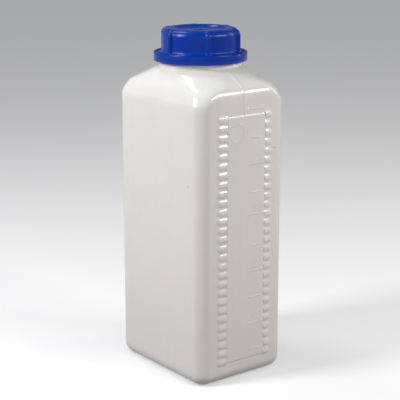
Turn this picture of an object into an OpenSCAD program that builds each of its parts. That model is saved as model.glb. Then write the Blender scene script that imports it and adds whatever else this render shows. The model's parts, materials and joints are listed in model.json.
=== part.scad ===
// One-litre rectangular bottle, blow-moulded, with a ribbed screw cap and a tamper ring.
// +Z is up, the origin is the centre of the base, and the graduated panel faces +X.

/* [Body] */
// Width of the body, across the two ribbed faces
body_w = 89; // [70:1:120]
// Depth of the body, across the two smooth faces
body_d = 69.8; // [64:0.2:100]
// Distance from the top graduation line to the height where wall and shoulder slope would meet
line_to_eaves = 11.1; // [9:0.1:16]
// Rise of the shoulder slope from there to the neck
shoulder_rise = 12.6; // [8:0.2:20]
// How the slope rises: 1 is straight, less is fuller near the eaves
slope_bow = 0.86; // [0.7:0.02:1]
// How the depth and the corners close up: 1 is straight, less is earlier
side_bow = 0.5; // [0.4:0.05:1]
// Wall thickness
wall = 1.5; // [1:0.1:2.5]
// Radius of the upright corners
corner_r = 8.5; // [5:0.5:14]
// Radius of the edge round the base
base_r = 7.5; // [4:0.5:8]
// Width of the band round the base that stands on the table
foot_band = 6; // [3:0.5:10]
// Height of the push-up in the base
push_up = 2.5; // [1:0.5:5]
// Length of wall that the rounding below the eaves takes
eaves_round = 6.5; // [3:0.5:12]
// Share of the shoulder slope that the rounding takes
eaves_share = 0.16; // [0.1:0.02:0.6]

/* [Panel and grip ribs] */
// Height of the panel's lower edge
panel_bottom = 12.4; // [11:0.1:30]
// Number of grip ribs in a row
rib_count = 28; // [10:1:28]
// Distance from one grip rib to the next
rib_pitch = 5.85; // [5:0.05:5.9]
// Distance from the panel's lower edge to the middle of the lowest grip rib
rib_start = 1.6; // [1:0.1:3]
// Radius of a grip rib's round section
rib_r = 3.6; // [3:0.1:4.5]
// How far a grip rib stands out of the wall
rib_proud = 0.85; // [0.5:0.05:1]
// Length of the rounding at a grip rib's outer end
rib_end = 2.8; // [1:0.1:4]
// How far the panel between the two rows stands out of the wall
panel_proud = 0.4; // [0.2:0.1:0.8]
// Width of the panel between the two rows
panel_w = 30.3; // [20:0.1:34]
// Sideways shift of the panel's middle from the parting line
panel_shift = 1.75; // [0:0.05:4]
// Length of the grip ribs in the row on the left of the graduations
left_rib_len = 7.9; // [4:0.1:9]
// Length of the grip ribs in the row on the right of the graduations
right_rib_len = 6.7; // [4:0.1:8]

/* [Graduation] */
// Height of the 100 ml line
first_line_z = 18.7; // [16:0.1:24]
// Distance between the lines, 100 ml each
line_pitch = 17.6; // [15:0.1:17.6]
// Number of lines up to 1000 ml
line_count = 10; // [5:1:10]
// Width of a line
line_w = 0.8; // [0.5:0.1:1.2]
// How far a line stands out of the panel
line_proud = 0.3; // [0.2:0.05:0.6]
// Length of a line at an odd hundred
short_line = 8.6; // [6:0.2:12]
// Length of a line at an even hundred
long_line = 13.4; // [8:0.2:14]
// How far the short lines end before the long ones
line_inset = 3.1; // [0:0.1:5]
// Distance of the long lines' outer ends from the right row of ribs
line_margin = 0.1; // [0.1:0.1:3]
// Diameter of the ring mark on the panel
mark_d = 11.8; // [8:0.2:12]
// Height of the ring mark's centre
mark_z = 163.4; // [150:0.2:166]
// Sideways place of the ring mark's centre
mark_y = -5.4; // [-6:0.2:0]

/* [Neck] */
// Radius of the bore
bore_r = 19.6; // [16:0.1:20.2]
// Wall of the neck
neck_wall = 1.8; // [1.4:0.1:2.2]
// Radius of the collar at the foot of the neck
collar_r = 26.4; // [25.6:0.1:27]
// Height of the collar above the shoulder
collar_h = 2.2; // [1.5:0.1:4]
// How far the bead that holds the tamper ring stands out of the neck
bead_proud = 2.4; // [1.6:0.1:2.6]
// Height of the bead
bead_h = 1.8; // [1.2:0.1:2.4]
// Distance from the collar's top to the rim of the neck
finish_h = 16.6; // [15:0.1:20]

/* [Cap] */
// Room between neck and cap wall, which the thread fills
thread_room = 1.8; // [1.6:0.1:2.4]
// Thickness of the cap's wall
cap_wall = 1.5; // [1.2:0.1:1.7]
// Thickness of the cap's top plate, at the middle
cap_top = 1.6; // [1.2:0.1:2.4]
// Radius of the cap's rounded upper edge
cap_round = 3.5; // [2:0.1:4]
// Radius of the dish in the cap's top
dish_r = 16.8; // [10:0.1:18]
// Depth of the dish
dish_depth = 1.3; // [0.6:0.1:1.8]
// Radius of the raised disc round the gate
gate_disc_r = 5; // [3:0.5:7]
// Number of grip ribs on the cap
cap_ribs = 6; // [4:1:12]
// Angle of the cap's first rib
cap_rib_angle = -27; // [-30:1:30]
// Radius of a cap rib's round section
cap_rib_r = 1.5; // [1:0.1:1.8]
// How far the cap's ribs stand out of its wall
cap_rib_proud = 2; // [1:0.1:2.4]
// Radius of the fillet above the flange at the cap's foot
flange_fillet = 1.6; // [0.8:0.1:1.8]
// Thickness of the flange's edge
flange_h = 0.5; // [0.4:0.1:1]
// Thickness of the sealing disc
liner_h = 1.5; // [1:0.1:2]

/* [Tamper ring] */
// Width of the tamper ring, from its inner wall to its outer one
ring_w = 5.6; // [5:0.1:7]
// Height of the tamper ring
ring_h = 5.6; // [5:0.1:7]
// Thickness of the ring's walls
ring_wall = 1.1; // [0.8:0.1:1.3]
// How far the ring's outer rim stands above its web
ring_rim = 1; // [0.5:0.1:1.4]
// Number of thin bridges between ring and cap
bridge_count = 20; // [8:1:24]

/* [Fits] */
// Gap between pieces that move past each other
gap = 0.3; // [0.2:0.05:0.5]

/* [Hidden] */
$fn = 96;

natural = [0.93, 0.92, 0.90];
blue = [0.02, 0.22, 0.70];
foam = [0.96, 0.96, 0.94];

// Steps in a quarter turn of the body's corner, in its rounded edges and up its shoulder
corner_steps = 12;
round_steps = 6;
slope_steps = 5;
// Smallest corner radius, where the rounded edges of the base meet
small_r = 1;

// Heights, from the base up
top_line_z = first_line_z + (line_count - 1) * line_pitch;
eaves_z = top_line_z + line_to_eaves;
neck_base_z = eaves_z + shoulder_rise;
collar_top_z = neck_base_z + collar_h;
rim_z = collar_top_z + finish_h;
liner_top_z = rim_z + liner_h;
cap_top_z = liner_top_z + cap_top + dish_depth;
ring_bottom_z = collar_top_z + gap;
ring_top_z = ring_bottom_z + ring_h;
web_top_z = ring_top_z - ring_rim;
bridge_h = 0.5;
cap_bottom_z = web_top_z + bridge_h;
bead_bottom_z = ring_bottom_z + ring_wall + 2 * gap;

// Radii of the neck, the cap's inside and the ring's inside
neck_r = bore_r + neck_wall;
bead_r = neck_r + bead_proud;
cap_inner_r = neck_r + thread_room;
cap_r = cap_inner_r + cap_wall;
ring_inner_r = bead_r + 2 * gap;
ring_r = ring_inner_r + ring_w;
lip_r = neck_r + 3 * gap;
flange_r = cap_r + flange_fillet + gap;
// The shoulder closes on a circle inside the collar, which stands on it
shoulder_top_r = collar_r - 1;
throat_r = bore_r + 1;
collar_root = 2.6;

// Heights of the panel
panel_top = panel_bottom + (rib_count - 1) * rib_pitch + 2 * rib_start;
panel_left = panel_shift - panel_w / 2;
panel_right = panel_shift + panel_w / 2;
line_end = panel_right - line_margin;

function lerp(a, b, t) = a + (b - a) * t;

// One level of the body: height, half width, half depth and corner radius
function level(z, inset, r) = [z, body_w / 2 - inset, body_d / 2 - inset, max(r, small_r)];

// A level on the shoulder slope, at share s of the way from the wall to a circle of radius top_r
function slope_level(z, s, inset, top_r) =
    let (a = body_w / 2 - inset, b = body_d / 2 - inset, r = corner_r - inset)
    [z, lerp(a, top_r, s), lerp(b, top_r, pow(s, side_bow)), lerp(r, top_r, pow(s, side_bow))];

// The rounded edge from the foot band up into the wall, going up
function base_levels(inset, floor_z) =
    let (r = base_r - inset)
    [for (k = [0:round_steps])
        let (t = 90 * k / round_steps, d = inset + r * (1 - sin(t)))
        level(floor_z + r * (1 - cos(t)), d, corner_r - d)];

// The rounded eaves and the slope above them, going up
function eaves_levels(inset, drop, top_r, top_z) =
    let (z0 = eaves_z - drop, rise = top_z - z0,
         joint = pow(eaves_share, slope_bow),
         middle_z = z0 + rise * joint * (1 - slope_bow))
    concat(
        [for (k = [0:round_steps])
            let (t = k / round_steps)
            slope_level(
                pow(1 - t, 2) * (z0 - eaves_round) + 2 * t * (1 - t) * middle_z
                    + t * t * (z0 + rise * joint),
                t * t * eaves_share, inset, top_r)],
        [for (k = [1:slope_steps])
            let (s = lerp(eaves_share, 1, k / slope_steps))
            slope_level(z0 + rise * pow(s, slope_bow), s, inset, top_r)]);

function reversed(list) = [for (k = [len(list) - 1:-1:0]) list[k]];

// Points of one level, counted from above against the clock
function level_points(row) =
    [for (q = [0:3], i = [0:corner_steps - 1])
        let (t = 90 * q + 90 * (i + 0.5) / corner_steps,
             sx = (q == 0 || q == 3) ? 1 : -1,
             sy = q < 2 ? 1 : -1)
        [sx * (row[1] - row[3]) + row[3] * cos(t), sy * (row[2] - row[3]) + row[3] * sin(t), row[0]]];

// A closed skin through a stack of levels, flat at its first and last level
module loft(rows) {
    n = 4 * corner_steps;
    last = (len(rows) - 1) * n;
    polyhedron(
        points = [for (row = rows) each level_points(row)],
        faces = concat(
            [[for (i = [0:n - 1]) i]],
            [for (k = [0:len(rows) - 2], i = [0:n - 1])
                let (j = (i + 1) % n, p = k * n + i, q = k * n + j)
                each [[p, p + n, q], [q, p + n, q + n]]],
            [[for (i = [n - 1:-1:0]) last + i]]));
}

// Outer skin up to the collar's seat, then the inner skin down to the floor
module body_shell() {
    drop = wall * 0.6;
    inner_r = corner_r - wall;
    loft(concat(
        [level(push_up, base_r + foot_band + push_up, small_r),
         level(0, base_r + foot_band, small_r)],
        base_levels(0, 0),
        eaves_levels(0, 0, shoulder_top_r, neck_base_z),
        [[neck_base_z, throat_r, throat_r, throat_r],
         [neck_base_z - wall * 0.7, throat_r + 0.6, throat_r + 0.6, throat_r + 0.6]],
        reversed(eaves_levels(wall, drop, shoulder_top_r - wall, neck_base_z - wall * 1.3)),
        reversed(base_levels(wall, wall)),
        [level(wall, base_r + foot_band, small_r),
         level(wall + push_up, base_r + foot_band + push_up, small_r)]));
}

// Collar, snap bead and plain wall of the neck, turned as one profile
module neck() {
    root = 0.6;
    edge = 0.4;
    rotate_extrude()
        polygon([
            [throat_r + 1.5, neck_base_z - root],
            [collar_r - wall, neck_base_z - root],
            [collar_r - wall, neck_base_z - collar_root],
            [collar_r, neck_base_z - collar_root],
            [collar_r, collar_top_z - edge],
            [collar_r - edge, collar_top_z],
            [neck_r, collar_top_z],
            [neck_r, bead_bottom_z],
            [bead_r, bead_bottom_z],
            [bead_r, bead_bottom_z + bead_h / 3],
            [neck_r, bead_bottom_z + bead_h],
            [neck_r, rim_z - edge],
            [neck_r - edge, rim_z],
            [bore_r + edge, rim_z],
            [bore_r, rim_z - edge],
            [bore_r, neck_base_z + root]]);
}

// A row of round ribs on the +X wall, from the panel's edge at root out to rounded ends at tip
module rib_row(root, tip) {
    way = tip > root ? 1 : -1;
    sunk = body_w / 2 + rib_proud - rib_r;
    back = body_w / 2 - wall / 2;
    intersection() {
        translate([0, max(root, tip), 0]) rotate([90, 0, 0]) linear_extrude(abs(tip - root))
            for (k = [0:rib_count - 1])
                translate([sunk, panel_bottom + rib_start + k * rib_pitch]) circle(rib_r);
        translate([0, 0, panel_bottom - rib_r]) linear_extrude(panel_top - panel_bottom + 2 * rib_r)
            polygon(concat(
                [[back, root], [back, tip]],
                [for (k = [0:4]) let (t = 90 * k / 4)
                    [body_w / 2 + rib_proud * sin(t), tip - way * rib_end * (1 - cos(t))]],
                [[body_w / 2 + rib_proud, root]]));
    }
}

// A bar on the +X wall, from its root in the wall out to proud
module bar(y0, y1, z0, z1, proud) {
    root = wall / 2;
    translate([body_w / 2 - root, y0, z0]) cube([root + proud, y1 - y0, z1 - z0]);
}

module graduations() {
    out = panel_proud + line_proud;
    for (k = [0:line_count - 1]) {
        z = first_line_z + k * line_pitch;
        on_panel = z < panel_top;
        length = k % 2 == 1 ? long_line : short_line;
        shift = on_panel ? (k % 2 == 1 ? 0 : line_inset) : line_inset * 0.6;
        bar(line_end - shift - length, line_end - shift, z - line_w / 2, z + line_w / 2,
            on_panel ? out : line_proud);
    }
    translate([body_w / 2 - wall / 2, mark_y, mark_z]) rotate([0, 90, 0])
        linear_extrude(wall / 2 + out)
            difference() {
                circle(mark_d / 2);
                circle(mark_d / 2 - line_w);
            }
}

// The raised panel with its two rows of grip ribs
module grip_panel() {
    bar(panel_left, panel_right, panel_bottom, panel_top, panel_proud);
    rib_row(panel_left, panel_left - left_rib_len);
    rib_row(panel_right, panel_right + right_rib_len);
}

module bottle() {
    color(natural) union() {
        body_shell();
        neck();
        grip_panel();
        mirror([1, 0, 0]) grip_panel();
        graduations();
    }
}

// Points on an arc in a turned profile
function arc(cx, cz, r, from, to, steps = 8) =
    [for (k = [0:steps]) let (t = lerp(from, to, k / steps)) [cx + r * cos(t), cz + r * sin(t)]];

// One grip rib of the cap: upright, then bent inwards over the cap's rounded edge
module cap_rib() {
    path_r = cap_r + cap_rib_proud - cap_rib_r;
    bend = cap_round - 1;
    bend_z = cap_top_z - cap_rib_r - bend - 0.1;
    foot_z = cap_bottom_z + flange_h / 2;
    inner_x = path_r - bend;
    translate([path_r, 0, foot_z]) cylinder(r = cap_rib_r, h = bend_z - foot_z);
    translate([inner_x, 0, bend_z]) rotate([90, 0, 0])
        rotate_extrude(angle = 90) translate([bend, 0]) circle(cap_rib_r);
    translate([inner_x, 0, bend_z + bend]) rotate([0, -90, 0])
        cylinder(r = cap_rib_r, h = inner_x - (cap_r - cap_round) + cap_rib_r / 2);
}

module cap() {
    floor_z = cap_top_z - dish_depth;
    slope = 1;
    gate_rise = 0.3;
    color(blue) difference() {
        union() {
            rotate_extrude()
                polygon(concat(
                    [[0, cap_bottom_z], [flange_r, cap_bottom_z], [flange_r, cap_bottom_z + flange_h]],
                    arc(cap_r + flange_fillet, cap_bottom_z + flange_h + flange_fillet,
                        flange_fillet, 265, 180),
                    arc(cap_r - cap_round, cap_top_z - cap_round, cap_round, 0, 90),
                    [[dish_r, cap_top_z], [dish_r - slope, floor_z],
                     [gate_disc_r, floor_z], [gate_disc_r - gate_rise, floor_z + gate_rise],
                     [0, floor_z + gate_rise]]));
            for (k = [0:cap_ribs - 1]) rotate(cap_rib_angle + 360 * k / cap_ribs) cap_rib();
            translate([0, 0, floor_z]) cylinder(r1 = 0.9, r2 = 0.5, h = 0.9);
        }
        translate([0, 0, cap_bottom_z - 1]) cylinder(r = cap_inner_r, h = liner_top_z - cap_bottom_z + 1);
    }
}

// An open channel with a lip that catches under the neck's bead, and stubs of the bridges on its web
module tamper_ring() {
    lip_top_z = bead_bottom_z - gap;
    web_bottom_z = web_top_z - ring_wall;
    rim_edge = 0.3;
    bridge_w = 1.1;
    color(blue) union() {
        rotate_extrude()
            polygon([
                [ring_r - ring_wall, ring_bottom_z],
                [ring_r - rim_edge, ring_bottom_z],
                [ring_r, ring_bottom_z + rim_edge],
                [ring_r, ring_top_z - rim_edge],
                [ring_r - rim_edge, ring_top_z],
                [ring_r - ring_wall, ring_top_z],
                [ring_r - ring_wall - ring_rim / 2, web_top_z],
                [ring_inner_r, web_top_z],
                [ring_inner_r, lip_top_z],
                [lip_r, lip_top_z],
                [lip_r + rim_edge, lip_top_z - ring_wall],
                [ring_inner_r + ring_wall, lip_top_z - ring_wall],
                [ring_inner_r + ring_wall, web_bottom_z],
                [ring_r - ring_wall, web_bottom_z]]);
        for (k = [0:bridge_count - 1]) rotate(360 * k / bridge_count)
            translate([ring_inner_r, -bridge_w / 2, web_top_z - 0.2])
                cube([ring_wall, bridge_w, bridge_h + 0.15]);
    }
}

module seal_liner() {
    color(foam) translate([0, 0, rim_z]) cylinder(r = cap_inner_r - gap, h = liner_h);
}

bottle();
cap();
tamper_ring();
seal_liner();
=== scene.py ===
# %% [markdown]
# # A one-litre square bottle with a blue screw cap
#
# This lesson dresses a finished CAD model. The CAD says where every piece is and how it
# moves. Here each piece gets the soft edges, the moulded relief and the plastic that a
# photograph shows. Everything is in metres, so a length in millimetres is written as
# `13 * MM`.

# %% Load the frame
import json
import math

import bmesh
import bpy
import numpy as np
from mathutils import Matrix, Vector

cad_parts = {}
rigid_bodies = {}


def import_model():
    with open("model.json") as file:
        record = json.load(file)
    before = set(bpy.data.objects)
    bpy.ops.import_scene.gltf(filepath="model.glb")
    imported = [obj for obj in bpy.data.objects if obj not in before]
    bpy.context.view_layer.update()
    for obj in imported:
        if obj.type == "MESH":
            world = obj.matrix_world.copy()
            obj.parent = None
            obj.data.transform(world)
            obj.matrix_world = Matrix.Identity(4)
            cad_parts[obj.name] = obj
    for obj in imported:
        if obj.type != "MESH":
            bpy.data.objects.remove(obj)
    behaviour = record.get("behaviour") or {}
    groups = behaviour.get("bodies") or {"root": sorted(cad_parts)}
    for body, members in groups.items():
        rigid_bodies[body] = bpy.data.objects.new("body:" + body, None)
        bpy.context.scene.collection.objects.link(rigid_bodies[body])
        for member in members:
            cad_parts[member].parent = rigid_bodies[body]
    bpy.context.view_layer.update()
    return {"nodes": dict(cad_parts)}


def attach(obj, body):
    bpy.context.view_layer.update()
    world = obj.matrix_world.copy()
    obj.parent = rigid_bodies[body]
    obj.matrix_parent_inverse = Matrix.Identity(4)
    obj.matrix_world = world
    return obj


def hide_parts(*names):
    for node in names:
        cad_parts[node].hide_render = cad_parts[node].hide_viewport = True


MM = 0.001

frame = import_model()
print("CAD nodes:", sorted(frame["nodes"]))

# %% [markdown]
# ## The camera
#
# The photograph was taken with a long lens from a little above the bottle's shoulder,
# looking at the corner between the smooth side and the graduated side. Azimuth and
# elevation say where the camera stands as seen from the bottle, and a long focal length
# keeps the upright edges nearly parallel.

# %% Camera
VIEW_AZIMUTH = math.radians(52.03)
VIEW_ELEVATION = math.radians(13.92)
VIEW_DISTANCE = 0.7934
VIEW_TARGET = Vector((0, 0, 0.1157))


def direction(azimuth, elevation):
    """The way from the bottle to a place at that azimuth and elevation."""
    return Vector((
        math.sin(azimuth) * math.cos(elevation),
        -math.cos(azimuth) * math.cos(elevation),
        math.sin(elevation),
    ))


view_place = VIEW_TARGET + VIEW_DISTANCE * direction(VIEW_AZIMUTH, VIEW_ELEVATION)
bpy.ops.object.camera_add(location=view_place)
camera = bpy.context.object
camera.name = "camera"
camera.rotation_euler = (VIEW_TARGET - camera.location).to_track_quat("-Z", "Y").to_euler()
camera.data.lens = 108.5
camera.data.sensor_width = 36
camera.data.shift_x = -0.0012
camera.data.shift_y = -0.0196
bpy.context.scene.camera = camera

# %% [markdown]
# ## Studio
#
# The cap shows two soft highlights, one on each side of its middle. A highlight on a
# round cap points halfway between the camera and its lamp, which gives the places of the
# key and the side softbox. The top softbox brightens the shoulder, a small strip catches
# the grip ribs, and a warm one behind draws the light edge at the right. A large softbox
# near the camera fills the corner between the two sides. It stays out of reflections,
# because it would grey the blue cap. The floor is plain and pale, and the world gives
# the rest.

# %% Lamps, floor and world
LAMP_AIM = Vector((0, 0, 0.12))


def softbox(name, azimuth, elevation, distance, width, height, power, tint=(1, 1, 1)):
    """A rectangular lamp that faces the bottle."""
    place = LAMP_AIM + distance * direction(math.radians(azimuth), math.radians(elevation))
    bpy.ops.object.light_add(type="AREA", location=place)
    lamp = bpy.context.object
    lamp.name = name
    lamp.rotation_euler = (LAMP_AIM - place).to_track_quat("-Z", "Y").to_euler()
    lamp.data.shape = "RECTANGLE"
    lamp.data.size = width
    lamp.data.size_y = height
    lamp.data.energy = power
    lamp.data.color = tint
    return lamp


softbox("key_softbox", -14, 32, 0.62, 0.16, 0.22, 2.7)
softbox("side_softbox", 110, 30, 0.75, 0.22, 0.18, 1.5, (1, 0.985, 0.97))
softbox("top_softbox", -66, 62, 0.9, 0.2, 0.2, 1.5)
fill = softbox("fill_softbox", 52, 10, 1.3, 0.9, 0.5, 3.6)
fill.visible_glossy = False
softbox("rib_strip", 129, 27, 0.7, 0.12, 0.1, 0.9, (1, 0.985, 0.975))
softbox("rear_strip", 160, 20, 1.0, 0.12, 0.5, 1.2, (1, 0.88, 0.74))

bpy.ops.mesh.primitive_plane_add(size=14)
floor = bpy.context.object
floor.name = "floor"

world = bpy.data.worlds.new("studio")
bpy.context.scene.world = world
bpy.context.scene.view_settings.view_transform = "Standard"

# %% [markdown]
# ## Small tools
#
# Blender's operators act on whatever is selected, so each piece starts with a clear
# selection. Most of this bottle is made of rings: a circle is added, its edge is
# extruded, and each new ring is laid where the next level of the wall is. A number on
# every point, its column, goes along with each extrusion, so a ring of points can always
# be laid again without losing its order. Small details are closed bodies of their own
# that a boolean unites with the wall.

# %% Selecting and joining


def alone(piece):
    """Makes one piece the only one that operators act on."""
    if bpy.context.mode != "OBJECT":
        bpy.ops.object.mode_set(mode="OBJECT")
    bpy.ops.object.select_all(action="DESELECT")
    piece.select_set(True)
    bpy.context.view_layer.objects.active = piece
    return piece


def join(name, pieces):
    """Makes one object of several, without moving anything."""
    alone(pieces[0])
    for piece in pieces:
        piece.select_set(True)
    if len(pieces) > 1:
        bpy.ops.object.join()
    pieces[0].name = name
    pieces[0].data.name = name
    bpy.ops.object.transform_apply(location=True, rotation=True, scale=True)
    return pieces[0]


def weld(piece, reach=0.002 * MM):
    """Merges points that lie on each other, and turns all faces outward."""
    alone(piece)
    bpy.ops.object.mode_set(mode="EDIT")
    bpy.ops.mesh.select_all(action="SELECT")
    bpy.ops.mesh.remove_doubles(threshold=reach)
    bpy.ops.mesh.normals_make_consistent(inside=False)
    bpy.ops.object.mode_set(mode="OBJECT")
    return piece


def fuse(piece, parts):
    """Unites closed parts with a closed piece, so that no wall is left inside."""
    group = bpy.data.collections.new("parts")
    for part in parts:
        group.objects.link(weld(part))
    alone(piece)
    union = piece.modifiers.new("union", "BOOLEAN")
    union.operation = "UNION"
    union.solver = "EXACT"
    union.operand_type = "COLLECTION"
    union.collection = group
    bpy.ops.object.modifier_apply(modifier="union")
    for part in parts:
        bpy.data.objects.remove(part)
    bpy.data.collections.remove(group)
    return piece


def triangles(piece):
    """How many triangles a piece will have."""
    return sum(len(p.vertices) - 2 for p in piece.data.polygons)


# %% Pulling a wall up ring by ring


def pull_rings(name, rings, filled=False):
    """Extrudes a circle through a list of rings, each an array of points in metres."""
    count = len(rings[0])
    bpy.ops.object.select_all(action="DESELECT")
    bpy.ops.mesh.primitive_circle_add(vertices=count, radius=0.02)
    piece = bpy.context.object
    piece.name = name
    column = piece.data.attributes.new("column", "INT", "POINT")
    column.data.foreach_set("value", np.arange(count, dtype=np.int32))
    piece.data.vertices.foreach_set("co", rings[0].astype(np.float32).ravel())
    bpy.ops.object.mode_set(mode="EDIT")
    bpy.ops.mesh.select_all(action="SELECT")
    for places in rings[1:]:
        bpy.ops.mesh.extrude_region_move()
        shape = bmesh.from_edit_mesh(piece.data)
        number = shape.verts.layers.int["column"]
        for point in shape.verts:
            if point.select:
                point.co = places[point[number]]
        bmesh.update_edit_mesh(piece.data)
    if filled:
        bpy.ops.mesh.select_all(action="SELECT")
        bpy.ops.mesh.fill_holes(sides=0)
    bpy.ops.object.mode_set(mode="OBJECT")
    return piece


def circle_ring(radius, z, angles):
    """A level ring round the upright axis."""
    heights = np.full(len(angles), z)
    return np.stack([radius * np.cos(angles), radius * np.sin(angles), heights], 1) * MM


def even_turn(count):
    """Angles of a ring's points, evenly spaced."""
    return np.arange(count) * 2 * math.pi / count


def arc(centre, radius, start, end, steps):
    """Points on an arc of a profile, angles in degrees from outward to up."""
    turn = np.radians(np.linspace(start, end, steps + 1))
    return [(centre[0] + radius * math.cos(t), centre[1] + radius * math.sin(t)) for t in turn]


def turned(name, profile, count=144):
    """A piece turned from a profile of (radius, height) points in millimetres."""
    return pull_rings(name, [circle_ring(r, z, even_turn(count)) for r, z in profile])


# %% [markdown]
# ## The body's wall
#
# A blow-moulded body is one skin that was blown against a mould. In plan it is a
# rectangle with round corners, and on the shoulder this rectangle closes up to a circle.
# Each level needs its height, half width, half depth and corner radius. The eaves are a
# curve that starts upright and ends on the slope, at a small share of the way in. The
# slope's two bows say how fast it rises and how fast the depth follows the width. Points
# are shared out by arc length from the middle of each side, so a point keeps its place on
# the flat wall and still spreads evenly where the shoulder is round.

# %% The body's levels, in millimetres
HALF_W, HALF_D = 44.5, 34.88
EAVES_Z, NECK_BASE_Z = 188.2, 200.8
WALL = 1.5
CORNER_R, BASE_R, FOOT_BAND, PUSH_UP = 8.5, 7.5, 6, 2.5
EAVES_ROUND, EAVES_SHARE = 7.4, 0.18
SLOPE_BOW, SIDE_BOW = 0.86, 0.5
SHOULDER_TOP_R = 25.4


def wall_level(z, inset, corner):
    """One level of the upright wall."""
    return (z, HALF_W - inset, HALF_D - inset, max(corner, 1))


def slope_level(z, share, inset, top_r):
    """One level on the shoulder, at a share of the way to its top circle."""
    a, b, r = HALF_W - inset, HALF_D - inset, CORNER_R - inset
    side = share ** SIDE_BOW
    return (z, a + (top_r - a) * share, b + (top_r - b) * side, r + (top_r - r) * side)


def base_levels(inset, floor_z, steps):
    """The rounded edge at the base, going up."""
    r = BASE_R - inset
    turn = [math.pi / 2 * k / steps for k in range(steps + 1)]
    return [wall_level(floor_z + r * (1 - math.cos(t)), inset + r * (1 - math.sin(t)),
                       CORNER_R - inset - r * (1 - math.sin(t))) for t in turn]


def shoulder_levels(inset, drop, top_r, top_z, round_steps, slope_steps):
    """The rounded eaves and the slope, going up."""
    start = EAVES_Z - drop
    rise = top_z - start
    joint_z = start + rise * EAVES_SHARE ** SLOPE_BOW
    middle_z = start + rise * EAVES_SHARE ** SLOPE_BOW * (1 - SLOPE_BOW)
    levels = []
    for k in range(round_steps + 1):
        t = k / round_steps
        z = (1 - t) ** 2 * (start - EAVES_ROUND) + 2 * t * (1 - t) * middle_z + t * t * joint_z
        levels.append(slope_level(z, t * t * EAVES_SHARE, inset, top_r))
    for k in range(1, slope_steps + 1):
        share = EAVES_SHARE + (1 - EAVES_SHARE) * k / slope_steps
        levels.append(slope_level(start + rise * share ** SLOPE_BOW, share, inset, top_r))
    return levels


# %% [markdown]
# ## Where the points of a ring lie
#
# The ribbed faces need many columns at the ends of the ribs and few between them, so
# the columns are listed one by one, as a modeller would place edge loops beside each
# detail.

# %% Columns of points round the body, in millimetres
PANEL_LEFT, PANEL_RIGHT = -13.8, 16.6
LEFT_ROW = (PANEL_LEFT - 7.8, PANEL_LEFT)
RIGHT_ROW = (PANEL_RIGHT, PANEL_RIGHT + 5.9)
RIB_ROWS = (LEFT_ROW[::-1], RIGHT_ROW)
LINE_END, LONG_LINE, SHORT_LINE, LINE_INSET, EAVES_LINE_INSET = 16.8, 13.4, 8.6, 3.1, 1.86
LINE_SOFT = 0.3
MARKS_AT_ROOT = (-0.7, -0.36, -0.18, 0, 0.2, 0.45, 0.9, 1.9)
MARKS_AT_TIP = (-0.2, 0, 0.1, 0.3, 0.6, 1.0, 1.6, 2.2, 2.8, 3.6)
CORNER_STEPS = 7

row_marks = []
for root, tip in RIB_ROWS:
    way = 1 if tip > root else -1
    row_marks += [root + way * d for d in MARKS_AT_ROOT] + [tip - way * d for d in MARKS_AT_TIP]
short_start = LINE_END - LINE_INSET - SHORT_LINE
line_marks = [LINE_END - LONG_LINE, LINE_END - LONG_LINE + LINE_SOFT, short_start, short_start + LINE_SOFT,
              LINE_END - EAVES_LINE_INSET - LONG_LINE, LINE_END - EAVES_LINE_INSET,
              LINE_END - LINE_INSET - LINE_SOFT, LINE_END - LINE_INSET, LINE_END - LINE_SOFT]
ridge_marks = [-0.85, -0.7, -0.4, 0, 0.4, 0.7, 0.85]
plain_marks = [-24, -9, -5, 3, 8, 11, 25.4]
face_marks = sorted(set(round(y, 2) for y in row_marks + line_marks + ridge_marks + plain_marks))
side_marks = [-30, -24, -18, -12, -6, 0, 6, 12, 18, 24, 30]


def side_shares(half, marks):
    """Places of a side's columns as shares of the way from its middle to a corner's middle."""
    reach = half + CORNER_R * math.pi / 4
    bend = [half + CORNER_R * math.pi / 4 * k / CORNER_STEPS for k in range(CORNER_STEPS + 1)]
    stops = [-u for u in reversed(bend)] + [m for m in marks if abs(m) < half - 0.1] + bend
    return [u / reach for u in stops[:-1]]


half_face, half_side = HALF_D - CORNER_R, HALF_W - CORNER_R
columns = []
for side in range(4):
    marks = [face_marks, side_marks, [-y for y in reversed(face_marks)], side_marks][side]
    columns += [(side, share) for share in side_shares(half_side if side % 2 else half_face, marks)]
column_side = np.array([c[0] for c in columns])
column_share = np.array([c[1] for c in columns])
print("columns round the body:", len(columns))


def body_ring(level):
    """The points of one level of the body, in millimetres."""
    z, a, b, r = level
    broad = column_side % 2 == 1
    reach_out = np.where(broad, b, a)
    half = np.where(broad, a, b) - r
    along = column_share * (half + r * math.pi / 4)
    bend = np.clip((np.abs(along) - half) / r, 0, None)
    out = reach_out - r + r * np.cos(bend)
    along = np.where(bend > 0, np.sign(along) * (half + r * np.sin(bend)), along)
    x = np.choose(column_side, [out, -along, -out, along])
    y = np.choose(column_side, [along, out, -along, -out])
    return np.stack([x, y, np.full(len(x), z)], 1)


# %% [markdown]
# ## The relief on the ribbed faces
#
# Both narrow faces carry a raised panel between two rows of round grip ribs, and the
# front one has the graduation. On the real bottle the mould is cut with these shapes and
# the soft plastic follows it, so every edge is a little round. A height for each point
# of the face gives just that. Where two shapes meet, a smooth maximum makes the fillet.
# The lines stand where the photograph shows them, a little off even spacing.

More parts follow.
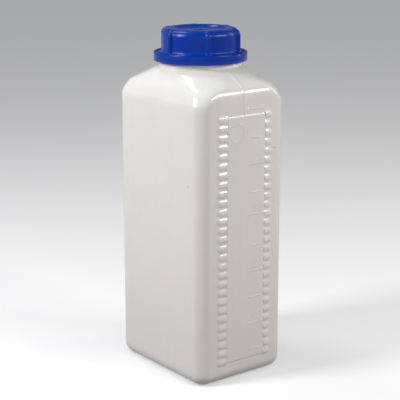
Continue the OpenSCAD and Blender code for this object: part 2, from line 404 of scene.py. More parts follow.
# %% The height of the relief
PANEL_BOTTOM, RIB_START = 12.4, 1.6
RIB_COUNT, RIB_PITCH, RIB_R, RIB_PROUD = 28, 5.85, 3.6, 0.85
FIRST_RIB_Z = PANEL_BOTTOM + RIB_START
PANEL_TOP = PANEL_BOTTOM + (RIB_COUNT - 1) * RIB_PITCH + 2 * RIB_START
RIB_END = 2.8
PANEL_PROUD, LINE_PROUD, LINE_W = 0.4, 0.3, 0.8
PANEL_SIDE_SOFT, PANEL_END_SOFT, ROOT_SLOPE, RIB_FILLET = 0.35, 0.9, 1.5, 0.3
FIRST_LINE_Z, LINE_PITCH = 18.7, 17.6
LINE_OFFSETS = [-0.2, 0, 0, 0, -0.4, 2.2, -0.8, -0.4, -1.0, -0.4]
line_heights = [FIRST_LINE_Z + k * LINE_PITCH + offset for k, offset in enumerate(LINE_OFFSETS)]


def smooth_max(a, b, soft):
    """The larger of two heights, with a fillet where they are nearly equal."""
    near = np.clip(soft - np.abs(a - b), 0, None) / soft
    return np.maximum(a, b) + near * near * soft / 4


def inside(x, low, high, soft):
    """1 between low and high, 0 outside, with a smooth edge of width soft inside them."""
    t = np.clip(np.minimum(x - low, high - x) / soft, 0, 1)
    return t * t * (3 - 2 * t)


def relief(y, z, front):
    """How far the ribbed face stands out at places y, z."""
    height = PANEL_PROUD * inside(y, PANEL_LEFT, PANEL_RIGHT, PANEL_SIDE_SOFT) \
        * inside(z, PANEL_BOTTOM, PANEL_TOP, PANEL_END_SOFT)
    nearest = np.clip(np.round((z - FIRST_RIB_Z) / RIB_PITCH), 0, RIB_COUNT - 1)
    from_middle = z - (FIRST_RIB_Z + nearest * RIB_PITCH)
    for root, tip in RIB_ROWS:
        way = 1 if tip > root else -1
        from_tip, from_root = (tip - y) * way, (y - root) * way
        round_off = np.clip(1 - from_tip / RIB_END, 0, None)
        proud = RIB_PROUD * (1 - round_off ** 2)
        bar = np.sqrt(np.clip(RIB_R ** 2 - from_middle ** 2, 0, None)) - (RIB_R - proud)
        bar = np.minimum(bar, PANEL_PROUD + np.maximum(from_root, -1) * ROOT_SLOPE)
        height = smooth_max(height, bar, RIB_FILLET)
    if front:
        for k, line_z in enumerate(line_heights):
            length, end = (LONG_LINE, LINE_END) if k % 2 else (SHORT_LINE, LINE_END - LINE_INSET)
            if line_z > PANEL_TOP:
                end = LINE_END - EAVES_LINE_INSET
            height = height + LINE_PROUD * inside(y, end - length, end, LINE_SOFT) \
                * inside(z, line_z - LINE_W / 2, line_z + LINE_W / 2, 0.2)
    return height


# %% [markdown]
# ## Wrapping a sheet round the body
#
# A grid is added with one row for each level and one column for each place round the
# body. Its points are then laid on the levels and pushed out by the relief. Rows are
# close together across each rib and line, and far apart on the plain wall. Above the
# panel, the line where the mould's halves met runs up the middle of both faces.

# %% Rows of the sheet
ROWS_ON_RIB = (-2.925, -2.55, -2.3, -2.05, -1.5, -0.8, 0, 0.8, 1.5, 2.05, 2.3, 2.55)
ROWS_ON_LINE = (-0.42, -0.2, 0.2, 0.42)
ROWS_AT_EDGE = (-0.1, 0.2, 0.45, 0.7, 0.9)
CLOSEST_ROWS = 0.11

close_rows = [FIRST_RIB_Z + k * RIB_PITCH + d for k in range(RIB_COUNT) for d in ROWS_ON_RIB]
close_rows += [z + d for z in line_heights for d in ROWS_ON_LINE]
close_rows += [PANEL_BOTTOM + d for d in ROWS_AT_EDGE] + [PANEL_TOP - d for d in ROWS_AT_EDGE]
wall_rows = []
for z in sorted(close_rows + [8.5, 10]):
    if not wall_rows or z - wall_rows[-1] > CLOSEST_ROWS:
        wall_rows.append(z)
outer_levels = base_levels(0, 0, 9) + [wall_level(z, 0, CORNER_R) for z in wall_rows] \
    + shoulder_levels(0, 0, SHOULDER_TOP_R, NECK_BASE_Z, 10, 14)
print("rows up the body:", len(outer_levels))

# %% The outer wall, in millimetres
SEAM_PROUD, SEAM_HALF_W = 0.22, 0.75
SEAM_AT_EAVES, SEAM_LOW_Z, SEAM_HIGH_Z, SEAM_SOFT = 0.2, 183, 191, 3


def wrapped_wall():
    """The outer skin from the foot band to the top of the shoulder."""
    rows, cols = len(outer_levels), len(columns)
    places = np.stack([body_ring(level) for level in outer_levels])
    heights = np.array([level[0] for level in outer_levels])
    widths = np.array([level[1] for level in outer_levels])
    climb = np.gradient(heights)
    shrink = -np.gradient(widths)
    length = np.hypot(climb, shrink)
    way_out, way_up = climb / length, shrink / length
    for side, sign in ((0, 1), (2, -1)):
        here = column_side == side
        y = places[:, here, 1]
        z = places[:, here, 2]
        on_wall = ((heights >= BASE_R) & (heights <= EAVES_Z - EAVES_ROUND))[:, None]
        out = np.where(on_wall, relief(y, z, side == 0), 0)
        from_seam = np.abs(column_share[here] * (half_face + CORNER_R * math.pi / 4))
        seam = np.where(heights > PANEL_TOP, SEAM_PROUD, 0) \
            + SEAM_AT_EAVES * inside(heights, SEAM_LOW_Z, SEAM_HIGH_Z, SEAM_SOFT)
        out = out + seam[:, None] * np.clip(1 - (from_seam / SEAM_HALF_W) ** 2, 0, 1)[None, :]
        places[:, here, 0] += sign * out * way_out[:, None]
        places[:, here, 2] += out * way_up[:, None]
    bpy.ops.object.select_all(action="DESELECT")
    bpy.ops.mesh.primitive_grid_add(x_subdivisions=cols, y_subdivisions=rows - 1, size=2)
    sheet = bpy.context.object
    grid = np.zeros(len(sheet.data.vertices) * 3, np.float32)
    sheet.data.vertices.foreach_get("co", grid)
    grid = grid.reshape(-1, 3)
    col = np.round((grid[:, 0] + 1) / 2 * cols).astype(int) % cols
    row = np.round((grid[:, 1] + 1) / 2 * (rows - 1)).astype(int)
    sheet.data.vertices.foreach_set("co", (places[row, col] * MM).astype(np.float32).ravel())
    sheet.data.update()
    return sheet, places[0] * MM, places[-1] * MM


outer_wall, foot_ring, shoulder_ring = wrapped_wall()
print("outer wall:", triangles(outer_wall), "triangles")

# %% [markdown]
# ## Neck, inside and base
#
# From the top of the shoulder the same ring goes on: up the neck, over its rim, down
# the bore and along the inner skin to the floor. The wall is modelled as the closed
# shell that it is, because light passes through thin plastic and an open bottle shows
# its inside.

# %% Heights and radii of the neck
COLLAR_TOP_Z, RIM_Z = 203.0, 219.6
COLLAR_R, NECK_R, BORE_R, THROAT_R = 26.4, 21.4, 19.6, 20.6
BEAD_Z, BEAD_R, BEAD_H = 205.0, 23.8, 1.8
ring_angles = np.arctan2(shoulder_ring[:, 1], shoulder_ring[:, 0])


def ring_at(radius, z):
    """A circle that keeps the columns of the shoulder's top ring."""
    return circle_ring(radius, z, ring_angles)


neck_profile = [(25.1, 201.2), (25.0, 202.8), (NECK_R + 0.7, 202.9), (NECK_R, 203.4), (NECK_R, 204.8),
                (NECK_R + 0.2, BEAD_Z), (BEAD_R - 0.25, BEAD_Z), (BEAD_R, BEAD_Z + 0.2),
                (BEAD_R, BEAD_Z + 0.55), (BEAD_R - 0.3, BEAD_Z + 0.85),
                (NECK_R + 0.3, BEAD_Z + BEAD_H - 0.1), (NECK_R, BEAD_Z + BEAD_H + 0.3),
                (NECK_R, RIM_Z - 0.5), (NECK_R - 0.15, RIM_Z - 0.15), (NECK_R - 0.5, RIM_Z),
                (BORE_R + 0.5, RIM_Z), (BORE_R + 0.15, RIM_Z - 0.15), (BORE_R, RIM_Z - 0.5),
                (BORE_R, NECK_BASE_Z + 1.2), (BORE_R + 0.3, NECK_BASE_Z + 0.4),
                (THROAT_R, NECK_BASE_Z - 0.3), (THROAT_R + 0.6, NECK_BASE_Z - 1)]
push_up_inset = BASE_R + FOOT_BAND
inner_levels = shoulder_levels(WALL, WALL * 0.6, SHOULDER_TOP_R - WALL, NECK_BASE_Z - WALL * 1.3, 6, 7)[::-1]
inner_levels += base_levels(WALL, WALL, 6)[::-1]
inner_levels += [wall_level(WALL, push_up_inset, 1), wall_level(WALL + PUSH_UP, push_up_inset + PUSH_UP, 1)]
inside_rings = [shoulder_ring] + [ring_at(r, z) for r, z in neck_profile]
inside_rings += [body_ring(level) * MM for level in inner_levels]
neck_and_inside = pull_rings("neck_and_inside", inside_rings)

base_rings = [foot_ring] + [body_ring(level) * MM for level in (
    wall_level(0, push_up_inset - 0.4, 1), wall_level(0.15, push_up_inset + 0.1, 1),
    wall_level(PUSH_UP - 0.15, push_up_inset + PUSH_UP - 0.1, 1),
    wall_level(PUSH_UP, push_up_inset + PUSH_UP + 0.4, 1))]
base = pull_rings("base", base_rings)

# %% [markdown]
# ## The collar, the pinch-off line and the thread
#
# The collar is a plain turned ring that stands on the shoulder. Under the base the
# closed mould has squeezed the hose of plastic flat, which leaves the pinch-off line.
# The thread is a small section that the screw modifier sweeps up its helix: one and a
# half turns at a pitch of 4 mm, with ends that fade into the wall.

# %% Collar and pinch-off line
PINCH_LENGTH, PINCH_W, PINCH_H = 52, 0.9, 1.2
collar = turned("collar", [(24.6, 198.6), (COLLAR_R, 198.2), (COLLAR_R, COLLAR_TOP_Z - 0.45),
                           (COLLAR_R - 0.13, COLLAR_TOP_Z - 0.13), (COLLAR_R - 0.45, COLLAR_TOP_Z),
                           (24.6, COLLAR_TOP_Z), (24.6, 198.6)])

bpy.ops.object.select_all(action="DESELECT")
bpy.ops.mesh.primitive_cube_add(size=1, location=(0, 0, (PUSH_UP + 0.1) * MM))
pinch_line = bpy.context.object
pinch_line.scale = (PINCH_LENGTH * MM, PINCH_W * MM, PINCH_H * MM)
bpy.ops.object.transform_apply(location=True, rotation=True, scale=True)
bpy.ops.object.mode_set(mode="EDIT")
bpy.ops.mesh.select_all(action="SELECT")
bpy.ops.mesh.bevel(offset=0.3 * MM, segments=2, affect="EDGES")
bpy.ops.object.mode_set(mode="OBJECT")

# %% The screw thread
THREAD_PITCH, THREAD_TURNS, THREAD_H = 4, 1.5, 1.3
THREAD_Z = RIM_Z - 2.4 - THREAD_PITCH * THREAD_TURNS


def thread(name, wall_r, outward, start_z):
    """A right-handed ridge on a round wall, in millimetres, that fades in and out."""
    side = 1 if outward else -1
    foot, crest = THREAD_PITCH * 0.29, THREAD_PITCH * 0.1
    section = [(-0.4, -foot), (0.05, -foot * 0.93),
               (THREAD_H * 0.85, -crest * 1.25), (THREAD_H, -crest * 0.75),
               (THREAD_H, crest * 0.75), (THREAD_H * 0.85, crest * 1.25),
               (0.05, foot * 0.93), (-0.4, foot)]
    bpy.ops.object.select_all(action="DESELECT")
    bpy.ops.mesh.primitive_circle_add(vertices=len(section), radius=1)
    ridge = bpy.context.object
    ridge.name = name
    for point, (out, up) in zip(ridge.data.vertices, section):
        point.co = Vector((wall_r + side * out, 0, start_z + up)) * MM
    sweep = ridge.modifiers.new("helix", "SCREW")
    sweep.axis = "Z"
    sweep.angle = 2 * math.pi * THREAD_TURNS
    sweep.screw_offset = THREAD_PITCH * THREAD_TURNS * MM
    sweep.steps = sweep.render_steps = 96
    sweep.use_merge_vertices = False
    bpy.ops.object.modifier_apply(modifier="helix")
    bpy.ops.object.mode_set(mode="EDIT")
    bpy.ops.mesh.select_all(action="SELECT")
    bpy.ops.mesh.fill_holes(sides=0)
    bpy.ops.mesh.normals_make_consistent(inside=False)
    bpy.ops.object.mode_set(mode="OBJECT")
    top_z = start_z + THREAD_PITCH * THREAD_TURNS
    for point in ridge.data.vertices:
        x, y, z = point.co / MM
        radius = math.hypot(x, y)
        turned_by = math.atan2(y, x) % (2 * math.pi)
        turns = round((z - start_z) / THREAD_PITCH - turned_by / (2 * math.pi)) + turned_by / (2 * math.pi)
        full = min(1, max(0, turns * 9), max(0, (THREAD_TURNS - turns) * 9))
        full = full * full * (3 - 2 * full)
        out = (radius - wall_r) * side
        if out > 0:
            radius = wall_r + side * (out * full - 0.1 * (1 - full))
            point.co = Vector((x, y, 0)).normalized() * radius * MM + Vector((0, 0, z * MM))
    return ridge


neck_thread = thread("neck_thread", NECK_R, True, THREAD_Z)
print("thread from", round(THREAD_Z, 1), "to", round(THREAD_Z + THREAD_PITCH * THREAD_TURNS, 1), "mm")

# %% [markdown]
# ## Ring mark and figures on the panel
#
# The ring mark is a thin torus, sunk in the panel. The plain figures of the graduation
# are drawn with strokes: each is a thin round bar that is pulled along straight runs and
# parts of ellipses, and is sunk so far that it only just stands out, as a shallow cut in
# the mould leaves it.

# %% Ring mark and figures
SURFACE_X = HALF_W + PANEL_PROUD
FACE_TURN = Matrix(((0, 0, 1, 0), (1, 0, 0, 0), (0, 1, 0, 0), (0, 0, 0, 1)))
MARK_R, MARK_BAR_R, MARK_SUNK, MARK_Y, MARK_Z = 5.7, 0.36, 0.16, -6.4, 162.9
STROKE_R, STROKE_PROUD, FIGURE_H, FIGURE_W, FIGURE_STEP = 0.42, 0.12, 5.2, 2.1, 3.4
FIGURE_FROM_END, FIGURE_ABOVE_LINE = 2.0, 1.4

bpy.ops.object.select_all(action="DESELECT")
bpy.ops.mesh.primitive_torus_add(major_radius=MARK_R * MM, minor_radius=MARK_BAR_R * MM,
                                 major_segments=72, minor_segments=12)
ring_mark = bpy.context.object
mark_place = Matrix.Translation(Vector((SURFACE_X - MARK_SUNK, MARK_Y, MARK_Z)) * MM)
ring_mark.data.transform(mark_place @ FACE_TURN)


def stroke(path):
    """A thin round bar along a path of (y, z) places on the panel, sunk in it."""
    path = [Vector(place) for place in path]
    turn = even_turn(8)
    rings = []
    for i, place in enumerate(path):
        way = (path[min(i + 1, len(path) - 1)] - path[max(i - 1, 0)]).normalized()
        across = Vector((-way.y, way.x))
        rings.append(np.array([(SURFACE_X + STROKE_PROUD - STROKE_R + STROKE_R * math.sin(t),
                                *(place + across * STROKE_R * math.cos(t))) for t in turn]) * MM)
    return pull_rings("stroke", rings, filled=True)


def bow(centre_y, centre_z, half_w, half_h, start, end, steps=14):
    """Places on part of an ellipse, angles in degrees."""
    return [(centre_y + half_w * math.cos(t), centre_z + half_h * math.sin(t))
            for t in np.radians(np.linspace(start, end, steps + 1))]


def loop(centre_z, half_w, half_h):
    """A closed ellipse as two strokes that overlap a little at their ends."""
    return [bow(0, centre_z, half_w, half_h, 90, 270), bow(0, centre_z, half_w, half_h, 262, 458)]


W, H = FIGURE_W / 2, FIGURE_H / 2
SHAPES = {
    "0": loop(H, W, H),
    "2": [bow(0, 1.5 * H, W, H / 2, 170, -25) + [(-W, 0)], [(-W - 0.1, 0), (W, 0)]],
    "4": [[(W * 0.4, 0), (W * 0.4, 2 * H)], [(W * 0.4, 2 * H), (-W, H * 0.6)],
          [(-W, H * 0.6), (W, H * 0.6)]],
    "6": loop(0.6 * H, W, 0.6 * H) + [bow(W, 0.7 * H, 2 * W, 1.3 * H, 180, 95)],
    "8": loop(0.52 * H, W, 0.52 * H) + loop(1.52 * H, 0.9 * W, 0.48 * H),
}


def figure(text, right_y, low_z):
    """The strokes of a number on the panel that ends at right_y and stands on low_z."""
    first = right_y - W - FIGURE_STEP * (len(text) - 1)
    return [stroke([(first + FIGURE_STEP * i + y, low_z + z) for y, z in path])
            for i, letter in enumerate(text) for path in SHAPES[letter]]


figures = []
for k in (1, 3, 5, 7):
    figures += figure(str(100 * (k + 1)), LINE_END - FIGURE_FROM_END, line_heights[k] + FIGURE_ABOVE_LINE)

# %% [markdown]
# ## One bottle
#
# Walls, neck and base share their end rings, so they weld into one closed skin. The
# strokes are united with each other first and then, with the other small parts, with the
# bottle, because each union with so large a mesh takes seconds.

# %% Join the bottle
bottle = join("bottle_body", [outer_wall, neck_and_inside, base])
weld(bottle, 0.004 * MM)
alone(bottle)
bpy.ops.object.mode_set(mode="EDIT")
bpy.ops.mesh.select_all(action="SELECT")
bpy.ops.mesh.fill_holes(sides=0)
bpy.ops.mesh.normals_make_consistent(inside=False)
bpy.ops.object.mode_set(mode="OBJECT")
marks = fuse(figures[0], figures[1:])
fuse(bottle, [join("small_parts", [collar, pinch_line, neck_thread, ring_mark, marks])])
alone(bottle)
bpy.ops.object.shade_smooth_by_angle(angle=math.radians(40))
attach(bottle, "container")
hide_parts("bottle")
print("bottle:", triangles(bottle), "triangles")

# %% [markdown]
# ## The cap
#
# The cap is turned like the neck. Its six grip ribs are half-round, run up the wall and
# bend inwards over the rounded edge. Each ring of the cap has its place on the plain
# wall and its place on the crest of a rib, and a column near a rib is laid between the
# two. So the ribs grow out of the wall with a small fillet, as moulded ribs do. Under the
# ribs the flange keeps its own radius.

# %% Profiles of the cap, in millimetres
CAP_FOOT_Z, CAP_TOP_Z, CAP_R, CAP_INNER_R = 208.4, 224.0, 24.7, 23.2
FLANGE_R, FLANGE_H, FILLET_R, EDGE_R = 26.6, 0.5, 1.6, 4.4
RIB_OUT, CAP_RIB_R, CAP_RIBS, CAP_RIB_ANGLE = 2.0, 1.5, 6, -27
DISH_R, DISH_Z, DISC_R = 16.8, 222.7, 5.0
EDGE_STEPS, CREST_BEND_Z = 10, 218.7

plain = [(CAP_INNER_R + 0.3, CAP_FOOT_Z), (FLANGE_R - 0.15, CAP_FOOT_Z), (FLANGE_R, CAP_FOOT_Z + 0.15),
         (FLANGE_R, CAP_FOOT_Z + FLANGE_H - 0.12), (FLANGE_R - 0.13, CAP_FOOT_Z + FLANGE_H)]
plain += arc((CAP_R + FILLET_R, CAP_FOOT_Z + FLANGE_H + FILLET_R), FILLET_R, 265, 180, 7)
plain += [(CAP_R, z) for z in (212.5, 215, 217.3, 218.9)]
plain += arc((CAP_R - EDGE_R, CAP_TOP_Z - EDGE_R), EDGE_R, 0, 90, EDGE_STEPS)
crest_r = CAP_R + RIB_OUT
crest = [(r if z < CAP_FOOT_Z + FLANGE_H * 0.9 else crest_r, z) for r, z in plain[:-EDGE_STEPS - 1]]
crest[-1] = (crest_r, CREST_BEND_Z)
crest += arc((crest_r - EDGE_R, CAP_TOP_Z - EDGE_R), EDGE_R, 0, 90, EDGE_STEPS - 1)
crest.append((CAP_R - EDGE_R + 0.2, CAP_TOP_Z - 0.02))
dish = [(DISH_R + 0.6, CAP_TOP_Z), (DISH_R + 0.15, CAP_TOP_Z - 0.12), (DISH_R - 0.2, CAP_TOP_Z - 0.45),
        (DISH_R - 0.75, DISH_Z + 0.35), (DISH_R - 1, DISH_Z + 0.1), (DISH_R - 1.4, DISH_Z),
        (12, DISH_Z - 0.05)]
gate_disc = [(DISC_R + 0.3, DISH_Z), (DISC_R, DISH_Z + 0.06), (DISC_R - 0.22, DISH_Z + 0.26),
             (DISC_R - 0.5, DISH_Z + 0.3), (2, DISH_Z + 0.26)]
gate_nub = [(1.1, DISH_Z + 0.3), (0.85, DISH_Z + 0.45), (0.62, DISH_Z + 0.85), (0.4, DISH_Z + 0.93)]

# %% Columns of the cap
rib_widths = [0, 0.5, 0.9, 1.2, 1.4, 1.5, 1.54, 1.75, 2.1]
rib_heights = [0.5 + math.sqrt(max(CAP_RIB_R ** 2 - w * w, 0)) for w in rib_widths[:6]] + [0.28, 0.07, 0]
rib_half = list(zip(rib_widths, rib_heights))
RIB_MIDDLE_R, PLAIN_COLUMNS = CAP_R + 0.9, 12
cap_angles, cap_blend = [], []
for k in range(CAP_RIBS):
    middle = math.radians(CAP_RIB_ANGLE + 360 * k / CAP_RIBS)
    for w, h in [(-w, h) for w, h in rib_half[:0:-1]] + rib_half:
        cap_angles.append(middle + w / RIB_MIDDLE_R)
        cap_blend.append(h / RIB_OUT)
    start = middle + rib_widths[-1] / RIB_MIDDLE_R
    end = middle + 2 * math.pi / CAP_RIBS - rib_widths[-1] / RIB_MIDDLE_R
    for i in range(1, PLAIN_COLUMNS):
        cap_angles.append(start + (end - start) * i / PLAIN_COLUMNS)
        cap_blend.append(0)
cap_angles, cap_blend = np.array(cap_angles), np.clip(np.array(cap_blend), 0, 1)


def cap_ring(wall_place, crest_place):
    """A ring of the cap between its plain wall and the crest of its ribs."""
    radius = wall_place[0] + (crest_place[0] - wall_place[0]) * cap_blend
    height = wall_place[1] + (crest_place[1] - wall_place[1]) * cap_blend
    return np.stack([radius * np.cos(cap_angles), radius * np.sin(cap_angles), height], 1) * MM


LINER_TOP_Z = 221.1
cap_rings = [circle_ring(r, z, cap_angles) for r, z in (
    (0.4, LINER_TOP_Z), (12, LINER_TOP_Z), (CAP_INNER_R - 0.3, LINER_TOP_Z), (CAP_INNER_R, LINER_TOP_Z - 0.3),
    (CAP_INNER_R, 215), (CAP_INNER_R, CAP_FOOT_Z + 0.3))]
cap_rings += [cap_ring(p, q) for p, q in zip(plain, crest)]
cap_rings += [circle_ring(r, z, cap_angles) for r, z in dish + gate_disc + gate_nub]
cap_shell = pull_rings("cap_shell", cap_rings, filled=True)
weld(cap_shell)
cap_thread = thread("cap_thread", CAP_INNER_R, False, THREAD_Z - THREAD_PITCH / 2)
cap = join("screw_cap", [cap_shell, cap_thread])
alone(cap)
bpy.ops.object.shade_smooth_by_angle(angle=math.radians(48))
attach(cap, "closure")
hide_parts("cap")
print("cap:", triangles(cap), "triangles")

# %% [markdown]
# ## The tamper ring
#
# The ring was moulded with the cap and torn off it at the first opening. It is an open
# channel: an inner wall with a lip under the neck's bead, a web, and an outer wall whose
# rim stands above the web. The stubs of the thin bridges are left on the web.

# %% Tamper ring
RING_R, RING_INNER_R, RING_WALL = 30.0, 24.4, 1.1
RING_LOW_Z, RING_TOP_Z, WEB_Z = 203.3, 208.9, 207.9
LIP_R, LIP_TOP_Z = 22.3, 204.7
gutter_r = RING_R - RING_WALL
inner_wall_r = RING_INNER_R + RING_WALL
ring_profile = [(gutter_r, RING_LOW_Z), (RING_R - 0.35, RING_LOW_Z), (RING_R - 0.1, RING_LOW_Z + 0.1),
                (RING_R, RING_LOW_Z + 0.35), (RING_R - 0.04, RING_LOW_Z + 2.8), (RING_R, RING_TOP_Z - 0.4),
                (RING_R - 0.1, RING_TOP_Z - 0.12), (RING_R - 0.35, RING_TOP_Z), (gutter_r + 0.2, RING_TOP_Z),
                (gutter_r - 0.05, RING_TOP_Z - 0.2), (gutter_r - 0.4, WEB_Z + 0.1), (gutter_r - 0.8, WEB_Z),
                (RING_INNER_R, WEB_Z), (RING_INNER_R, LIP_TOP_Z), (LIP_R + 0.1, LIP_TOP_Z),
                (LIP_R, LIP_TOP_Z - 0.2), (LIP_R + 0.3, LIP_TOP_Z - RING_WALL),
                (inner_wall_r, LIP_TOP_Z - RING_WALL), (inner_wall_r, WEB_Z - RING_WALL),
                (gutter_r, WEB_Z - RING_WALL)]
ring_shell = turned("ring_shell", ring_profile + ring_profile[:1])
weld(ring_shell)

BRIDGES, BRIDGE_W, BRIDGE_H, BRIDGE_Z = 20, 1.1, 0.65, WEB_Z + 0.13
stub_size = Matrix.Diagonal((RING_WALL * MM, BRIDGE_W * MM, BRIDGE_H * MM, 1))
stub_place = Matrix.Translation(Vector((RING_INNER_R + RING_WALL / 2, 0, BRIDGE_Z)) * MM)
stubs = []
for k in range(BRIDGES):
    bpy.ops.object.select_all(action="DESELECT")
    bpy.ops.mesh.primitive_cube_add(size=1)
    stub = bpy.context.object
    bpy.ops.object.mode_set(mode="EDIT")
    bpy.ops.mesh.select_all(action="SELECT")
    bpy.ops.mesh.bevel(offset=0.15, segments=2, affect="EDGES")
    bpy.ops.object.mode_set(mode="OBJECT")
    stub.data.transform(Matrix.Rotation(2 * math.pi * k / BRIDGES, 4, "Z") @ stub_place @ stub_size)
    stubs.append(stub)
ring = join("tamper_band", [ring_shell] + stubs)
alone(ring)
bpy.ops.object.shade_smooth_by_angle(angle=math.radians(40))
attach(ring, "container")
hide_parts("tamper_ring")
print("tamper ring:", triangles(ring), "triangles")

# %% [markdown]
# ## Finishes
#
# A finish is a tree of nodes. The class below wraps a socket, so that a formula such as
# `0.5 + 0.3 * grain` adds its Math nodes by itself. Every other node comes from one
# method, which takes the node's type, its settings and what goes into its sockets.

# %% Shader maths


class Wire:
    """A node's output that can be added, multiplied and compared like a number."""

    def __init__(self, finish, socket):
        self.finish, self.socket = finish, socket

    def maths(self, operation, first, second, clamp=False):
        settings = {"operation": operation, "use_clamp": clamp}
        return self.finish.node("ShaderNodeMath", settings, {0: first, 1: second})

    def __add__(self, other):
        return self.maths("ADD", self, other)

    def __radd__(self, other):
        return self.maths("ADD", other, self)

    def __sub__(self, other):
        return self.maths("SUBTRACT", self, other)

    def __rsub__(self, other):
        return self.maths("SUBTRACT", other, self)

    def __mul__(self, other):
        return self.maths("MULTIPLY", self, other)

    def __rmul__(self, other):
        return self.maths("MULTIPLY", other, self)

    def __lt__(self, other):
        return self.maths("LESS_THAN", self, other)

    def clamped(self):
        return self.maths("ADD", self, 0, clamp=True)


class Finish:
    """A material or world and the tree that makes it."""

    def __init__(self, owner):
        self.owner = owner
        owner.use_nodes = True
        self.tree = owner.node_tree
        self.tree.nodes.clear()
        self.place = self.node("ShaderNodeTexCoord", {}, {}, "Object")

    def node(self, kind, settings, sockets, output=0):
        """Adds a node with its settings first, then its values and links."""
        node = self.tree.nodes.new(kind)
        for key, value in settings.items():
            setattr(node, key, value)
        for key, value in sockets.items():
            if isinstance(value, Wire):
                self.tree.links.new(value.socket, node.inputs[key])
            else:
                node.inputs[key].default_value = value
        return Wire(self, node.outputs[output]) if node.outputs else None

    def noise(self, scale, detail=2, stretch=None):
        """Noise of about 1 / scale metres, stretched along an axis if asked."""
        place = self.place
        if stretch:
            place = self.node("ShaderNodeMapping", {}, {"Vector": place, "Scale": stretch})
        return self.node("ShaderNodeTexNoise", {}, {"Vector": place, "Scale": scale, "Detail": detail})

    def mix(self, share, first, second):
        """A colour between two others."""
        return self.node("ShaderNodeMix", {"data_type": "RGBA"}, {0: share, 6: first, 7: second}, 2)

    def bump(self, height, depth, below=None):
        """A bump of that depth in metres where height goes from 0 to 1."""
        sockets = {"Height": height, "Distance": depth, "Strength": 1.0}
        if below is not None:
            sockets["Normal"] = below
        return self.node("ShaderNodeBump", {}, sockets)

    def surface(self, sockets):
        """The shader and the output."""
        shader = self.node("ShaderNodeBsdfPrincipled", {}, sockets)
        self.node("ShaderNodeOutputMaterial", {}, {"Surface": shader})
        return self.owner


def new_finish(name):
    """The finish of a new material."""
    return Finish(bpy.data.materials.new(name))


def paint(piece, material):
    """Gives a piece one material."""
    piece.data.materials.clear()
    piece.data.materials.append(material)


# %% [markdown]
# ## Natural polyethylene
#
# The bottle is unpigmented polyethylene: milky, a little warm, and lit from within
# where light has passed through the wall. Subsurface scattering gives that glow. The
# skin isn't quite even. It has faint upright streaks from the die that the hose came
# out of, a soft orange peel, and thin cloudy places. Two dark specks sit in the skin.

# %% Natural polyethylene
SPECK_R = 0.45
natural = new_finish("natural_polyethylene")
cloud = natural.noise(28, 3)
streaks = natural.noise(260, 2, (1, 1, 0.04))
peel = natural.noise(420, 2)
grain = natural.noise(2600, 2)
tone = (cloud - 0.5) * 0.5 + (streaks - 0.5) * 0.35 + 0.5
milk = natural.mix(tone.clamped(), (0.80, 0.785, 0.765, 1), (0.87, 0.86, 0.84, 1))
for speck in ((44.5, 24.8, 149.9), (32.2, -34.9, 130.6)):
    offset = natural.node("ShaderNodeVectorMath", {"operation": "DISTANCE"},
                          {0: natural.place, 1: Vector(speck) * MM}, 1)
    milk = natural.mix((offset < SPECK_R * MM) * 0.6, milk, (0.25, 0.2, 0.15, 1))
skin = natural.bump(streaks, 0.05 * MM)
skin = natural.bump(peel, 0.05 * MM, skin)
skin = natural.bump(grain, 0.008 * MM, skin)
paint(bottle, natural.surface({
    "Base Color": milk,
    "Roughness": 0.14 + 0.07 * cloud,
    "Normal": skin,
    "IOR": 1.52,
    "Specular IOR Level": 0.55,
    "Subsurface Weight": 0.35,
    "Subsurface Radius": (1.0, 0.85, 0.7),
    "Subsurface Scale": 2.0 * MM,
}))

# %% [markdown]
# ## Blue polypropylene
#
# Cap and ring are one shot of a glossy blue plastic. It is smooth, so it mirrors the
# softboxes. A trace of flow lines and a very fine grain keep the highlights soft.

# %% Blue polypropylene


def blue_plastic(name, ripple):
    """The blue of cap and ring, with ripples of that depth in millimetres."""
    blue = new_finish(name)
    flow = blue.noise(120, 2, (1, 1, 0.3))
    fine = blue.noise(1800, 2)
    colour = blue.mix(flow, (0.0, 0.03, 0.31, 1), (0.0, 0.042, 0.37, 1))
    normal = blue.bump(flow, ripple * MM)
    normal = blue.bump(fine, 0.002 * MM, normal)
    return blue.surface({
        "Base Color": colour,
        "Roughness": 0.22 + 0.08 * fine,
        "Normal": normal,
        "IOR": 1.5,
        "Specular IOR Level": 0.26,
        "Subsurface Weight": 0.06,
        "Subsurface Radius": (0.05, 0.3, 1.0),
        "Subsurface Scale": 0.8 * MM,
    })


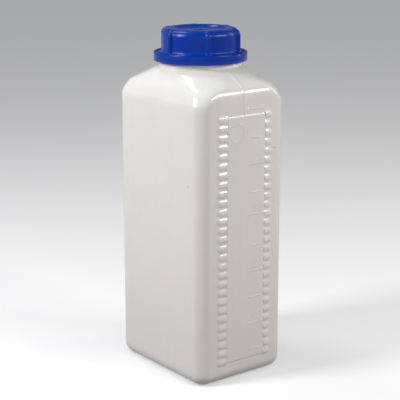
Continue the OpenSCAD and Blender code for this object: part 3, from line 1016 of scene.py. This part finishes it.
paint(cap, blue_plastic("blue_cap_plastic", 0.08))
paint(ring, blue_plastic("blue_ring_plastic", 0.25))

# %% [markdown]
# ## Liner and floor
#
# The sealing disc keeps its CAD shape and gets a foam's fine cells. The floor is matt
# and pale. Light Path tells what kind of ray has hit it: the camera and reflections see
# a pale floor with the bottle's shadow, while the light that it throws back up at the
# bottle stays as low as it was in the dark studio. The world does the same.

# %% Foam and floor
foam = new_finish("liner_foam")
cells = foam.node("ShaderNodeTexVoronoi", {}, {"Vector": foam.place, "Scale": 2400.0})
paint(frame["nodes"]["seal_liner"], foam.surface({
    "Base Color": foam.mix(cells, (0.86, 0.86, 0.84, 1), (0.92, 0.92, 0.90, 1)),
    "Roughness": 0.75 + 0.15 * cells,
    "Normal": foam.bump(cells, 0.04 * MM),
}))


def seen(finish):
    """1 for rays from the camera, in reflections and through glass, and 0 for others."""
    path = finish.tree.nodes.new("ShaderNodeLightPath")
    camera_ray, glossy_ray, through_ray = [
        Wire(finish, path.outputs[ray]) for ray in ("Is Camera Ray", "Is Glossy Ray", "Is Transmission Ray")]
    return (camera_ray + glossy_ray + through_ray).clamped()


matt = new_finish("pale_floor")
dull = matt.node("ShaderNodeBsdfDiffuse", {}, {"Color": (0.06, 0.035, 0.022, 1)})
pale = matt.node("ShaderNodeBsdfDiffuse", {}, {
    "Color": matt.mix(matt.noise(6, 3), (0.76, 0.76, 0.77, 1), (0.79, 0.79, 0.80, 1))})
glow = matt.node("ShaderNodeEmission", {}, {"Color": (0.97, 0.98, 1, 1), "Strength": 0.3})
lit = matt.node("ShaderNodeAddShader", {}, {0: pale, 1: glow})
top = matt.node("ShaderNodeMixShader", {}, {0: seen(matt), 1: dull, 2: lit})
matt.node("ShaderNodeOutputMaterial", {}, {"Surface": top})
paint(floor, matt.owner)

studio = Finish(world)
backdrop = studio.node("ShaderNodeBackground", {}, {
    "Color": studio.mix(seen(studio), (0.13, 0.13, 0.135, 1), (0.25, 0.255, 0.265, 1)), "Strength": 1.0})
studio.node("ShaderNodeOutputWorld", {}, {"Surface": backdrop})
